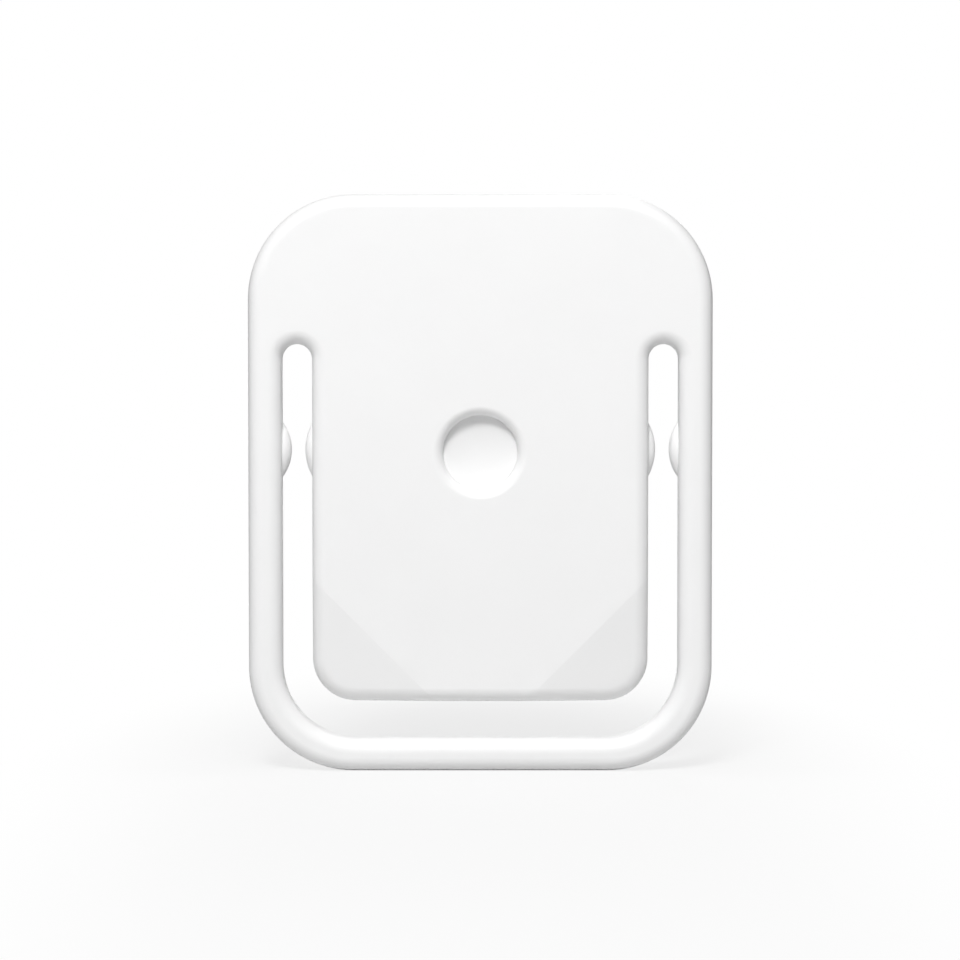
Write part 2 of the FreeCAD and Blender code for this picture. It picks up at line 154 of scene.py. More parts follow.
def insetCorners(corners, inset):
    area = 0
    for i, corner in enumerate(corners):
        before = corners[i - 1]
        area += before[0] * corner[1] - corner[0] * before[1]
    side = 1 if area > 0 else -1
    moved = []
    for i, (x, z, radius) in enumerate(corners):
        first, second, turn = turnOf(corners[i - 1], (x, z), corners[(i + 1) % len(corners)])
        inwardFirst = Vector((-first.y, first.x)) * side
        inwardSecond = Vector((-second.y, second.x)) * side
        shift = (inwardFirst + inwardSecond) / (1 + inwardFirst.dot(inwardSecond)) * inset
        convex = turn * side > 0
        grown = radius - inset if convex else radius + inset
        moved.append((x + shift.x, z + shift.y, max(grown, body["leastCorner"])))
    return moved


def cornerLoop(corners):
    steps = body["cornerSteps"]
    points = []
    for i, (x, z, radius) in enumerate(corners):
        first, second, turn = turnOf(corners[i - 1], (x, z), corners[(i + 1) % len(corners)])
        angle = math.acos(max(-1, min(1, first.dot(second))))
        start = Vector((x, z)) - first * radius * math.tan(angle / 2)
        across = Vector((-first.y, first.x)) * (1 if turn > 0 else -1)
        centre = start + across * radius
        for step in range(steps + 1):
            a = angle * step / steps
            points.append(centre - across * radius * math.cos(a) + first * radius * math.sin(a))
    return points


# Faces between two rings of points, where a ring may be one point
def bridge(made, low, high):
    count = max(len(low), len(high))
    for i in range(count if count > 1 else 0):
        j = (i + 1) % count
        corners = [low[i % len(low)], low[j % len(low)], high[j % len(high)], high[i % len(high)]]
        made.faces.new(list(dict.fromkeys(corners)))


def closedForm(name, made):
    bmesh.ops.recalc_face_normals(made, faces=made.faces)
    mesh = bpy.data.meshes.new(name)
    made.to_mesh(mesh)
    made.free()
    form = bpy.data.objects.new(name, mesh)
    bpy.context.scene.collection.objects.link(form)
    return form


# Form with one outline all through; each section gives its inset and its depth y
def loft(name, corners, sections):
    made = bmesh.new()
    rows = []
    for inset, y in sections:
        rows.append([made.verts.new((p.x, y, p.y)) for p in cornerLoop(insetCorners(corners, inset))])
    for low, high in zip(rows, rows[1:]):
        bridge(made, low, high)
    made.faces.new(rows[0])
    made.faces.new(rows[-1])
    return closedForm(name, made)


# Form turned round an axis along y at (x, z); the profile gives radius and depth y
def turned(name, profile, x, z, segments):
    made = bmesh.new()
    rows = []
    for radius, y in profile:
        if radius < tiny:
            rows.append([made.verts.new((x, y, z))])
            continue
        angles = [2 * math.pi * i / segments for i in range(segments)]
        rows.append([made.verts.new((x + radius * math.cos(a), y, z + radius * math.sin(a))) for a in angles])
    for low, high in zip(rows, rows[1:] + rows[:1]):
        bridge(made, low, high)
    return closedForm(name, made)


def rod(name, x, z, radius, start, end, segments):
    return turned(name, [(0, start), (radius, start), (radius, end), (0, end)], x, z, segments)


def quarter(steps):
    return [math.pi / 2 * step / steps for step in range(steps + 1)]


# Sections of a rounded edge that ends in the plane y
def roundTowards(radius, y, direction):
    sections = []
    for a in quarter(body["roundSteps"]):
        sections.append((radius * (1 - math.cos(a)), y - direction * radius * (1 - math.sin(a))))
    return sections


# Profile of a turned piece's rounded edge, from its face at the depth top to its wall
def roundEdge(wall, top, radius, side=1):
    profile = []
    for a in quarter(body["roundSteps"]):
        profile.append((wall - side * radius * (1 - math.sin(a)), top - radius * (1 - math.cos(a))))
    return profile


# Turns what the modifiers give into the piece's plain mesh
def applyModifiers(piece):
    graph = bpy.context.evaluated_depsgraph_get()
    mesh = bpy.data.meshes.new_from_object(piece.evaluated_get(graph))
    piece.modifiers.clear()
    old = piece.data
    piece.data = mesh
    bpy.data.meshes.remove(old)


def combine(base, tool, operation):
    change = base.modifiers.new("combine", "BOOLEAN")
    change.operation = operation
    change.solver = "MANIFOLD"
    change.object = tool
    applyModifiers(base)
    bpy.data.objects.remove(tool)


def cut(base, tool):
    combine(base, tool, "DIFFERENCE")


def join(base, tool):
    combine(base, tool, "UNION")


outerCorners = [
    (-halfWidth, 0, body["footCorner"]),
    (halfWidth, 0, body["footCorner"]),
    (halfWidth, body["height"], body["topCorner"]),
    (-halfWidth, body["height"], body["topCorner"]),
]
slotCorners = [
    (-slotOuter, body["slotTop"], slotTopRound),
    (-tongueHalf, body["slotTop"], slotTopRound),
    (-tongueHalf, tongueFoot, body["tongueCorner"]),
    (tongueHalf, tongueFoot, body["tongueCorner"]),
    (tongueHalf, body["slotTop"], slotTopRound),
    (slotOuter, body["slotTop"], slotTopRound),
    (slotOuter, body["barHeight"], body["loopInnerCorner"]),
    (-slotOuter, body["barHeight"], body["loopInnerCorner"]),
]
thickCorners = [
    (-halfWidth, body["height"], body["topCorner"]),
    (halfWidth, body["height"], body["topCorner"]),
    (halfWidth, body["skirt"], body["skirtCorner"]),
    (tongueHalf, body["skirt"], body["skirtInnerCorner"]),
    (tongueHalf, tongueFoot, body["tongueCorner"]),
    (-tongueHalf, tongueFoot, body["tongueCorner"]),
    (-tongueHalf, body["skirt"], body["skirtInnerCorner"]),
    (-halfWidth, body["skirt"], body["skirtCorner"]),
]

# The creases that cut off the tongue's lower corners: a point of each and its direction outwards
creases = []
for side in (-1, 1):
    start = Vector((side * tongueHalf, 0, tongueFoot + body["facetLeg"]))
    creases.append((start, Vector((side, 0, -1)).normalized()))


# Sinks what lies beyond the two creases, down to the given depth
def sinkFacets(piece, depth):
    margin = body["facetMargin"]
    made = bmesh.new()
    made.from_mesh(piece.data)
    for crease, outwards in creases:
        near = [f for f in made.faces if max(v.co.y for v in f.verts) < depth + tiny]
        geom = set(near)
        for face in near:
            geom.update(face.edges)
            geom.update(face.verts)
        bmesh.ops.bisect_plane(made, geom=list(geom), plane_co=crease, plane_no=outwards, dist=tiny)
        for v in made.verts:
            beyond = (v.co - crease).dot(outwards)
            onTongue = abs(v.co.x) < tongueHalf + margin and v.co.z > tongueFoot - margin
            if v.co.y < depth + tiny and onTongue and beyond > 0:
                v.co.y += beyond * facetSlope
    made.to_mesh(piece.data)
    made.free()


# Button in the middle of the tongue, in a well with a bore at its foot
button = {
    "height": 27.5,
    "boreRadius": 3.2,
    "boreLength": 1.05,
    "boreWall": 1.45,
    "bossFaces": 96,
    "wellDepth": 1.2,
    "wellRound": 0.75,
    "wellSlope": 78.0,  # degrees
    "wellSteps": 14,
    "wellFaces": 160,
    "play": 0.002,
    "dish": 0.32,
    "dishRings": 20,
    "rimRound": 0.03,
    "rimStep": 0.025,
    "flangeOverlap": 0.55,
    "flangeThickness": 0.3,
    "flangePlay": 0.05,
    "flangeChamfer": 0.06,
    "grooveStart": 0.25,
    "grooveWidth": 0.45,
    "sealWire": 0.19,
    "sealPlay": 0.02,
    "tailRadius": 0.9,
    "tailEnd": -0.895,
    "tailChamfer": 0.08,
    "faces": 128,
}
wellFloor = body["front"] + button["wellDepth"]
boreEnd = wellFloor + button["boreLength"]

# Posts and stakes that hold the circuit board
board = {
    "front": 0.355,
    "back": 1.155,
    "across": 11.19,
    "low": 9.29,
    "high": 34.2,
    "postRadius": 1.2,
    "pinRadius": 0.5,
    "stakeRadius": 0.95,
    "stakeHeight": 0.3,
    "stakeChamfer": 0.12,
    "faces": 40,
}
lightPipe = {"height": 21.0, "pocketRadius": 1.06, "windowWall": 0.5, "faces": 48}

# Nubs that narrow the slots, as spindles that lie half in their walls
nub = {
    "height": 27.75,
    "halfLength": 2.4,
    "sink": 0.15,
    "depth": 2.15,
    "armStand": 0.8,
    "tongueStand": 0.63,
    "rings": 24,
    "around": 48,
}


def wellProfile():
    b = button
    slope = math.radians(b["wellSlope"])
    radius = b["wellRound"]
    wall = b["wellDepth"] - radius * (1 - math.cos(slope))
    rim = b["boreRadius"] + wall / math.tan(slope) + radius * math.sin(slope)
    high = body["front"] - overcut
    deep = boreEnd + overcut
    profile = [(0, high), (rim, high)]
    for step in range(b["wellSteps"] + 1):
        a = slope * step / b["wellSteps"]
        profile.append((rim - radius * math.sin(a), body["front"] + radius * (1 - math.cos(a))))
    return profile + [(b["boreRadius"], wellFloor), (b["boreRadius"], deep), (0, deep)]


def makeNub(wallX, out, stand):
    radius = stand + nub["sink"]
    bulge = (nub["halfLength"] ** 2 + stand**2) / (2 * stand)
    tip = math.sqrt(bulge**2 - (bulge - radius) ** 2)
    angles = [2 * math.pi * i / nub["around"] for i in range(nub["around"])]
    made = bmesh.new()
    rows = []
    for ring in range(nub["rings"] + 1):
        z = -tip + 2 * tip * ring / nub["rings"]
        if ring in (0, nub["rings"]):
            rows.append([made.verts.new((0, 0, z))])
            continue
        r = math.sqrt(bulge**2 - z**2) - (bulge - radius)
        rows.append([made.verts.new((r * math.cos(a), r * math.sin(a), z)) for a in angles])
    for low, high in zip(rows, rows[1:]):
        bridge(made, low, high)
    place = Vector((wallX - out * nub["sink"], body["front"] + nub["depth"], nub["height"]))
    bmesh.ops.translate(made, verts=made.verts, vec=place)
    return closedForm("nub", made)


def addPosts(plate):
    b = board
    low = frontInside - overlap
    end = b["back"] + b["stakeHeight"]
    profile = [(0, low), (b["postRadius"], low), (b["postRadius"], b["front"]), (b["pinRadius"], b["front"])]
    profile += [(b["pinRadius"], b["back"]), (b["stakeRadius"], b["back"])]
    profile += [(b["stakeRadius"], end - b["stakeChamfer"])]
    profile += [(b["stakeRadius"] - b["stakeChamfer"], end), (0, end)]
    for side in (-1, 1):
        for z in (b["low"], b["high"]):
            join(plate, turned("post", profile, side * b["across"], z, b["faces"]))


def makeFrontShell():
    front = body["front"]
    joint = body["joint"]
    slotRound = body["slotRound"]
    sideWall = body["sideWall"]
    back = roundTowards(body["loopBackRound"], loopBack, 1)[::-1]
    plate = loft("front_moulding", outerCorners, back + roundTowards(body["frontRound"], front, -1))
    opening = [(-body["loopBackRound"], loopBack + overcut)] + [(-inset, y) for inset, y in back]
    opening += [(-inset, y) for inset, y in roundTowards(slotRound, front, -1)]
    cut(plate, loft("slot", slotCorners, opening + [(-slotRound, front - overcut)]))
    sinkFacets(plate, front + slotRound)
    top = front + slotRound + body["facetLeg"] / math.sqrt(2) * facetSlope + overlap
    join(plate, loft("thick", thickCorners, [(0, top)] + roundTowards(body["jointRound"], joint, 1)))
    cavity = loft("cavity", thickCorners, [(sideWall, frontInside), (sideWall, joint + overcut)])
    sinkFacets(cavity, frontInside)
    cut(plate, cavity)
    lip = sideWall - body["lipWidth"] - body["lipPlay"]
    cut(plate, loft("rabbet", thickCorners, [(lip, joint - body["rabbetDepth"]), (lip, joint + overcut)]))
    height = button["height"]
    bossRadius = button["boreRadius"] + button["boreWall"]
    join(plate, rod("boss", 0, height, bossRadius, frontInside - overlap, boreEnd, button["bossFaces"]))
    addPosts(plate)
    cut(plate, turned("well", wellProfile(), 0, height, button["wellFaces"]))
    p = lightPipe
    cut(plate, rod("pocket", 0, p["height"], p["pocketRadius"], front + p["windowWall"], joint, p["faces"]))
    for side in (-1, 1):
        join(plate, makeNub(side * slotOuter, -side, nub["armStand"]))
        join(plate, makeNub(side * tongueHalf, side, nub["tongueStand"]))
    return plate


shading = {"sharpAngle": 28, "creaseAngle": 0.3, "creaseReach": 0.001}  # degrees, and mm


def onCrease(edge):
    for crease, outwards in creases:
        if all(abs((v.co - crease).dot(outwards)) < shading["creaseReach"] for v in edge.verts):
            return len(edge.link_faces) == 2 and edge.calc_face_angle() > math.radians(shading["creaseAngle"])
    return False


# Welds the mesh, brings it to metres and keeps its corners and the facets' creases crisp
def finishMesh(piece):
    made = bmesh.new()
    made.from_mesh(piece.data)
    bmesh.ops.remove_doubles(made, verts=made.verts, dist=tiny)
    bmesh.ops.dissolve_degenerate(made, edges=made.edges, dist=tiny)
    crisp = [i for i, edge in enumerate(made.edges) if onCrease(edge)]
    bmesh.ops.scale(made, verts=made.verts, vec=(mm, mm, mm))
    made.to_mesh(piece.data)
    made.free()
    piece.data.shade_smooth()
    piece.data.set_sharp_from_angle(angle=math.radians(shading["sharpAngle"]))
    for i in crisp:
        piece.data.edges[i].use_edge_sharp = True
    weigh = piece.modifiers.new("weigh", "WEIGHTED_NORMAL")
    weigh.keep_sharp = True
    applyModifiers(piece)


shell = makeFrontShell()
finishMesh(shell)
print("front moulding made:", len(shell.data.polygons), "faces")

# Disc and ring on the skin side, in the raised island of the rear moulding
sensor = {
    "height": 19.5,
    "face": 4.175,
    "discRadius": 7.0,
    "discRound": 0.25,
    "discBack": 3.035,
    "discChamfer": 0.05,
    "bossRadius": 5.44,
    "bossBack": 2.855,
    "bossChamfer": 0.04,
    "holeRadius": 5.5,
    "seatRadius": 7.06,
    "ringInner": 7.25,
    "ringOuter": 8.88,
    "ringSeat": 8.94,
    "ringLow": 3.635,
    "ringHigh": 4.055,
    "ringRound": 0.2,
    "islandRadius": 9.64,
    "islandFace": 3.835,
    "islandFoot": 10.0,
    "islandRound": 0.12,
    "islandSteps": 4,
    "islandSink": 0.01,
    "faces": 160,
}
# Pins in their recess, and the magnets beside them
charging = {
    "height": 32.5,
    "count": 4,
    "pitch": 2.54,
    "pinRadius": 0.9,
    "pinRound": 0.22,
    "pinBack": 1.155,
    "pinEnd": 3.405,
    "pinFaces": 48,
    "flangeRadius": 1.15,
    "flangeStart": 2.135,
    "flangeEnd": 2.485,
    "holeRadius": 0.94,
    "holeFaces": 40,
    "recessDepth": 0.3,
    "recessHeight": 3.8,
    "recessRound": 0.15,
    "recessFloor": ((0.08, 0.0), (0.02, 0.03), (0.0, 0.08)),  # inset and rise where floor and wall meet
    "magnetAcross": 7.8,
    "pocketRadius": 2.05,
    "pocketDepth": 0.3,
    "pocketFaces": 48,
}


def roundRectangle(width, height, z, corner):
    x = width / 2
    h = height / 2
    return [(-x, z - h, corner), (x, z - h, corner), (x, z + h, corner), (-x, z + h, corner)]


def islandProfile():
    s = sensor
    r = s["islandRound"]
    low = rearInside + 2 * overlap
    profile = [(0, low), (s["islandFoot"], low), (s["islandFoot"], body["rearFace"] - s["islandSink"])]
    profile += [(s["islandRadius"] + r, s["islandFace"] - r)]
    for a in quarter(s["islandSteps"]):
        radius = s["islandRadius"] + r / 2 - r * (1 - math.cos(a))
        profile.append((radius, s["islandFace"] - r * (1 - math.sin(a))))
    return profile + [(0, s["islandFace"])]


def makeRearCover():
    s = sensor
    c = charging
    joint = body["joint"]
    face = body["rearFace"]
    sideWall = body["sideWall"]
    start = roundTowards(body["jointRound"], joint, -1)[::-1]
    cover = loft("rear_moulding", thickCorners, start + roundTowards(body["rearRound"], face, 1))
    lip = sideWall - body["lipWidth"]
    end = joint - body["lipLength"]
    chamfer = body["lipChamfer"]
    sections = [(lip + chamfer, end), (lip, end + chamfer), (lip, joint + overlap)]
    join(cover, loft("lip", thickCorners, sections))
    join(cover, turned("island", islandProfile(), 0, s["height"], s["faces"]))
    cut(cover, loft("cavity", thickCorners, [(sideWall, joint - 2 * overcut), (sideWall, rearInside)]))
    low = rearInside - overcut
    high = s["face"] + overcut
    hole = [(0, low), (s["holeRadius"], low), (s["holeRadius"], s["discBack"])]
    hole += [(s["seatRadius"], s["discBack"]), (s["seatRadius"], s["ringLow"])]
    hole += [(s["ringSeat"], s["ringLow"]), (s["ringSeat"], high), (0, high)]
    cut(cover, turned("hole", hole, 0, s["height"], s["faces"]))
    width = (c["count"] - 1) * c["pitch"] + c["recessHeight"]
    corners = roundRectangle(width, c["recessHeight"], c["height"], c["recessHeight"] / 2 - tiny)
    recess = [(inset, face - c["recessDepth"] + rise) for inset, rise in c["recessFloor"]]
    recess += [(-inset, y) for inset, y in roundTowards(c["recessRound"], face, 1)]
    cut(cover, loft("recess", corners, recess + [(-c["recessRound"], face + overcut)]))
    for i in range(c["count"]):
        x = (i - (c["count"] - 1) / 2) * c["pitch"]
        cut(cover, rod("pinHole", x, c["height"], c["holeRadius"], low, high, c["holeFaces"]))
    for side in (-1, 1):
        x = side * c["magnetAcross"]
        end = rearInside + c["pocketDepth"]
        cut(cover, rod("pocket", x, c["height"], c["pocketRadius"], low, end, c["pocketFaces"]))
    return cover


def makeButtonCap():
    b = button
    radius = b["boreRadius"] - b["play"]
    groove = radius - 2 * b["sealWire"] - b["sealPlay"]
    grooveStart = wellFloor + b["grooveStart"]
    grooveEnd = grooveStart + b["grooveWidth"]
    flange = b["boreRadius"] + b["flangeOverlap"]
    flangeStart = boreEnd + b["flangePlay"]
    flangeEnd = flangeStart + b["flangeThickness"]
    sphere = (radius**2 + b["dish"] ** 2) / (2 * b["dish"])
    rim = wellFloor + b["rimRound"]
    tail = b["tailRadius"]
    profile = []
    for i in range(b["dishRings"] + 1):
        r = (radius - b["rimRound"]) * i / b["dishRings"]
        profile.append((r, wellFloor + b["dish"] - sphere + math.sqrt(sphere**2 - r**2)))
    profile += [(radius - b["rimStep"], rim), (radius, rim), (radius, grooveStart), (groove, grooveStart)]
    profile += [(groove, grooveEnd), (radius, grooveEnd), (radius, flangeStart), (flange, flangeStart)]
    profile += [(flange, flangeEnd - b["flangeChamfer"]), (flange - b["flangeChamfer"], flangeEnd)]
    profile += [(tail, flangeEnd), (tail, b["tailEnd"] - b["tailChamfer"])]
    profile += [(tail - b["tailChamfer"], b["tailEnd"]), (0, b["tailEnd"])]
    return turned("button_dish", profile, 0, b["height"], b["faces"])


def makeContactDisc():
    s = sensor
    profile = [(0, s["face"]), (s["discRadius"] / 2, s["face"])]
    profile += roundEdge(s["discRadius"], s["face"], s["discRound"])
    profile += [(s["discRadius"], s["discBack"] + s["discChamfer"])]
    profile += [(s["discRadius"] - s["discChamfer"], s["discBack"]), (s["bossRadius"], s["discBack"])]
    profile += [(s["bossRadius"], s["bossBack"] + s["bossChamfer"])]
    profile += [(s["bossRadius"] - s["bossChamfer"], s["bossBack"]), (0, s["bossBack"])]
    return turned("skin_disc", profile, 0, s["height"], s["faces"])


def makeSensorRing():
    s = sensor
    profile = [(s["ringInner"], s["ringLow"]), (s["ringOuter"], s["ringLow"])]
    profile += roundEdge(s["ringOuter"], s["ringHigh"], s["ringRound"])[::-1]
    profile += roundEdge(s["ringInner"], s["ringHigh"], s["ringRound"], -1)
    return turned("soft_ring", profile, 0, s["height"], s["faces"])


cover = makeRearCover()
cap = makeButtonCap()
disc = makeContactDisc()
ring = makeSensorRing()
for piece in (cover, cap, disc, ring):
    finishMesh(piece)
print("skin side and button made")


# Gives a socket a number or a link
def feed(tree, value, socket):
    if isinstance(value, bpy.types.NodeSocket):
        tree.links.new(value, socket)
    else:
        socket.default_value = value


def mathNode(tree, kind, *values):
    made = tree.nodes.new("ShaderNodeMath")
    made.operation = kind
    for value, socket in zip(values, made.inputs):
        feed(tree, value, socket)
    return made.outputs[0]


def lengthNode(tree, vector):
    made = tree.nodes.new("ShaderNodeVectorMath")
    made.operation = "LENGTH"
    tree.links.new(vector, made.inputs[0])
    return made.outputs["Value"]


# Carries a value from one span to another
def spanNode(tree, value, fromSpan, toSpan, kind="LINEAR"):
    made = tree.nodes.new("ShaderNodeMapRange")
    made.interpolation_type = kind
    labels = ("From Min", "From Max", "To Min", "To Max", "Value")
    for label, number in zip(labels, (*fromSpan, *toSpan, value)):
        feed(tree, number, made.inputs[label])
    return made.outputs[0]


def newMaterial(name):
    material = bpy.data.materials.new(name)
    material.use_nodes = True
    return material, material.node_tree, material.node_tree.nodes["Principled BSDF"]


# Finishes: each varies between its first and second colour, in patches. Colours are linear, and the
# sizes of patch, grain and pitch and the depth of the relief are in mm.
finishes = {
    "shell_white": {
        "first": (0.875, 0.875, 0.875), "second": (0.865, 0.865, 0.865), "patch": 7,
        "rough": (0.42, 0.48), "grain": 0.09, "depth": 0.0012, "gloss": 0.3,
    },
    "cover_white": {
        "first": (0.87, 0.87, 0.868), "second": (0.85, 0.85, 0.848), "patch": 5, "rough": (0.44, 0.54),
        "grain": 0.14, "depth": 0.005, "gloss": 0.3,
    },
    "seal_rubber": {
        "first": (0.53, 0.53, 0.51), "second": (0.46, 0.46, 0.445), "patch": 1.5, "rough": (0.55, 0.75),
        "grain": 0.06, "depth": 0.004,
    },
    "switch_black": {
        "first": (0.03, 0.03, 0.032), "second": (0.02, 0.02, 0.02), "patch": 0.8, "rough": (0.45, 0.6),
        "grain": 0.05, "depth": 0.004,
    },
    "switch_grey": {
        "first": (0.12, 0.12, 0.125), "second": (0.09, 0.09, 0.095), "patch": 0.8, "rough": (0.35, 0.5),
        "grain": 0.05, "depth": 0.003,
    },
    "chip_black": {
        "first": (0.028, 0.028, 0.03), "second": (0.018, 0.018, 0.019), "patch": 0.6,
        "rough": (0.5, 0.68), "grain": 0.035, "depth": 0.004,
    },
    "ceramic_white": {
        "first": (0.76, 0.74, 0.68), "second": (0.68, 0.66, 0.6), "patch": 0.7, "rough": (0.3, 0.42),
        "grain": 0.04, "depth": 0.003,
    },
    "ferrite_grey": {
        "first": (0.045, 0.045, 0.05), "second": (0.028, 0.028, 0.03), "patch": 0.35,
        "rough": (0.6, 0.8), "grain": 0.05, "depth": 0.01,
    },
    "capacitor_tan": {
        "first": (0.3, 0.17, 0.085), "second": (0.24, 0.13, 0.06), "patch": 0.3, "rough": (0.4, 0.55),
        "grain": 0.04, "depth": 0.004,
    },
    "foam_grey": {
        "first": (0.07, 0.07, 0.073), "second": (0.04, 0.04, 0.042), "patch": 0.9,
        "rough": (0.85, 0.95), "grain": 0.3, "depth": 0.06, "pattern": "cells",
    },
    "lead_red": {
        "first": (0.42, 0.012, 0.01), "second": (0.33, 0.008, 0.008), "patch": 0.8,
        "rough": (0.35, 0.5), "grain": 0.08, "depth": 0.004,
    },
    "lead_black": {
        "first": (0.02, 0.02, 0.021), "second": (0.013, 0.013, 0.013), "patch": 0.8,
        "rough": (0.35, 0.5), "grain": 0.08, "depth": 0.004,
    },
    "ring_grey": {
        "first": (0.36, 0.37, 0.38), "second": (0.32, 0.33, 0.34), "patch": 1.6, "rough": (0.62, 0.78),
        "grain": 0.07, "depth": 0.006,
    },
    "pad_blue": {
        "first": (0.11, 0.28, 0.46), "second": (0.09, 0.23, 0.4), "patch": 1.2, "rough": (0.6, 0.75),
        "grain": 0.12, "depth": 0.012,
    },
    "can_steel": {
        "first": (0.62, 0.62, 0.6), "second": (0.54, 0.54, 0.53), "patch": 0.8, "rough": (0.22, 0.36),
        "grain": 0.08, "depth": 0.002, "metal": 1.0, "stretch": (0.12, 1, 1),
    },
    "pouch_foil": {
        "first": (0.68, 0.69, 0.71), "second": (0.58, 0.59, 0.61), "patch": 2.4, "rough": (0.26, 0.4),
        "grain": 1.3, "depth": 0.05, "metal": 1.0, "pattern": "creases",
    },
    "spreader_aluminium": {
        "first": (0.78, 0.78, 0.79), "second": (0.68, 0.68, 0.69), "patch": 1.5, "rough": (0.3, 0.44),
        "grain": 0.1, "depth": 0.004, "metal": 1.0, "stretch": (0.06, 1, 1),
    },
    "magnet_nickel": {
        "first": (0.7, 0.68, 0.64), "second": (0.6, 0.58, 0.55), "patch": 0.9, "rough": (0.14, 0.26),
        "grain": 0.05, "depth": 0.0015, "metal": 1.0,
    },
    "contact_gold": {
        "first": (0.83, 0.54, 0.19), "second": (0.76, 0.47, 0.15), "patch": 0.7, "rough": (0.2, 0.32),
        "grain": 0.05, "depth": 0.0015, "metal": 1.0,
    },
    "disc_steel": {
        "first": (0.63, 0.63, 0.64), "second": (0.59, 0.59, 0.6), "patch": 3.5, "rough": (0.26, 0.32),
        "depth": 0.001, "metal": 1.0, "pattern": "rings", "pitch": 0.28, "centre": sensor["height"],
    },
    "led_clear": {
        "first": (0.86, 0.89, 0.86), "second": (0.8, 0.84, 0.78), "patch": 0.5, "rough": (0.08, 0.2),
        "grain": 0.06, "depth": 0.002, "clear": 0.85,
    },
    "board_green": {
        "first": (0.012, 0.1, 0.035), "second": (0.02, 0.16, 0.06), "patch": 1.2, "rough": (0.22, 0.34),
        "depth": 0.004, "pattern": "tracks", "pitch": 0.5,
    },
    "flex_amber": {
        "first": (0.42, 0.14, 0.014), "second": (0.5, 0.24, 0.06), "patch": 0.9, "rough": (0.18, 0.3),
        "depth": 0.003, "pattern": "tracks", "pitch": 0.35,
    },
}

# How every finish is built, sizes in mm too
finishBuild = {
    "noiseSpan": (0.3, 0.7),  # the part of a noise that is spread over the whole
    "patchDetail": 3.0,
    "grainDetail": 2.0,
    "roughDetail": 4.0,
    "roughPatch": 0.6,  # of a patch of colour
    "roughMove": (3, 5, 7),
    "creaseDetail": 5.0,
    "creaseStretch": (0.7, 1, 1),
    "trackPatch": 3.2,
    "trackMove": (4, 0, 9),
    "trackChoice": (0.47, 0.5),
    "trackEdge": (0.55, 0.7),
    "waveLength": math.pi / 10,  # of a wave at scale 1
}


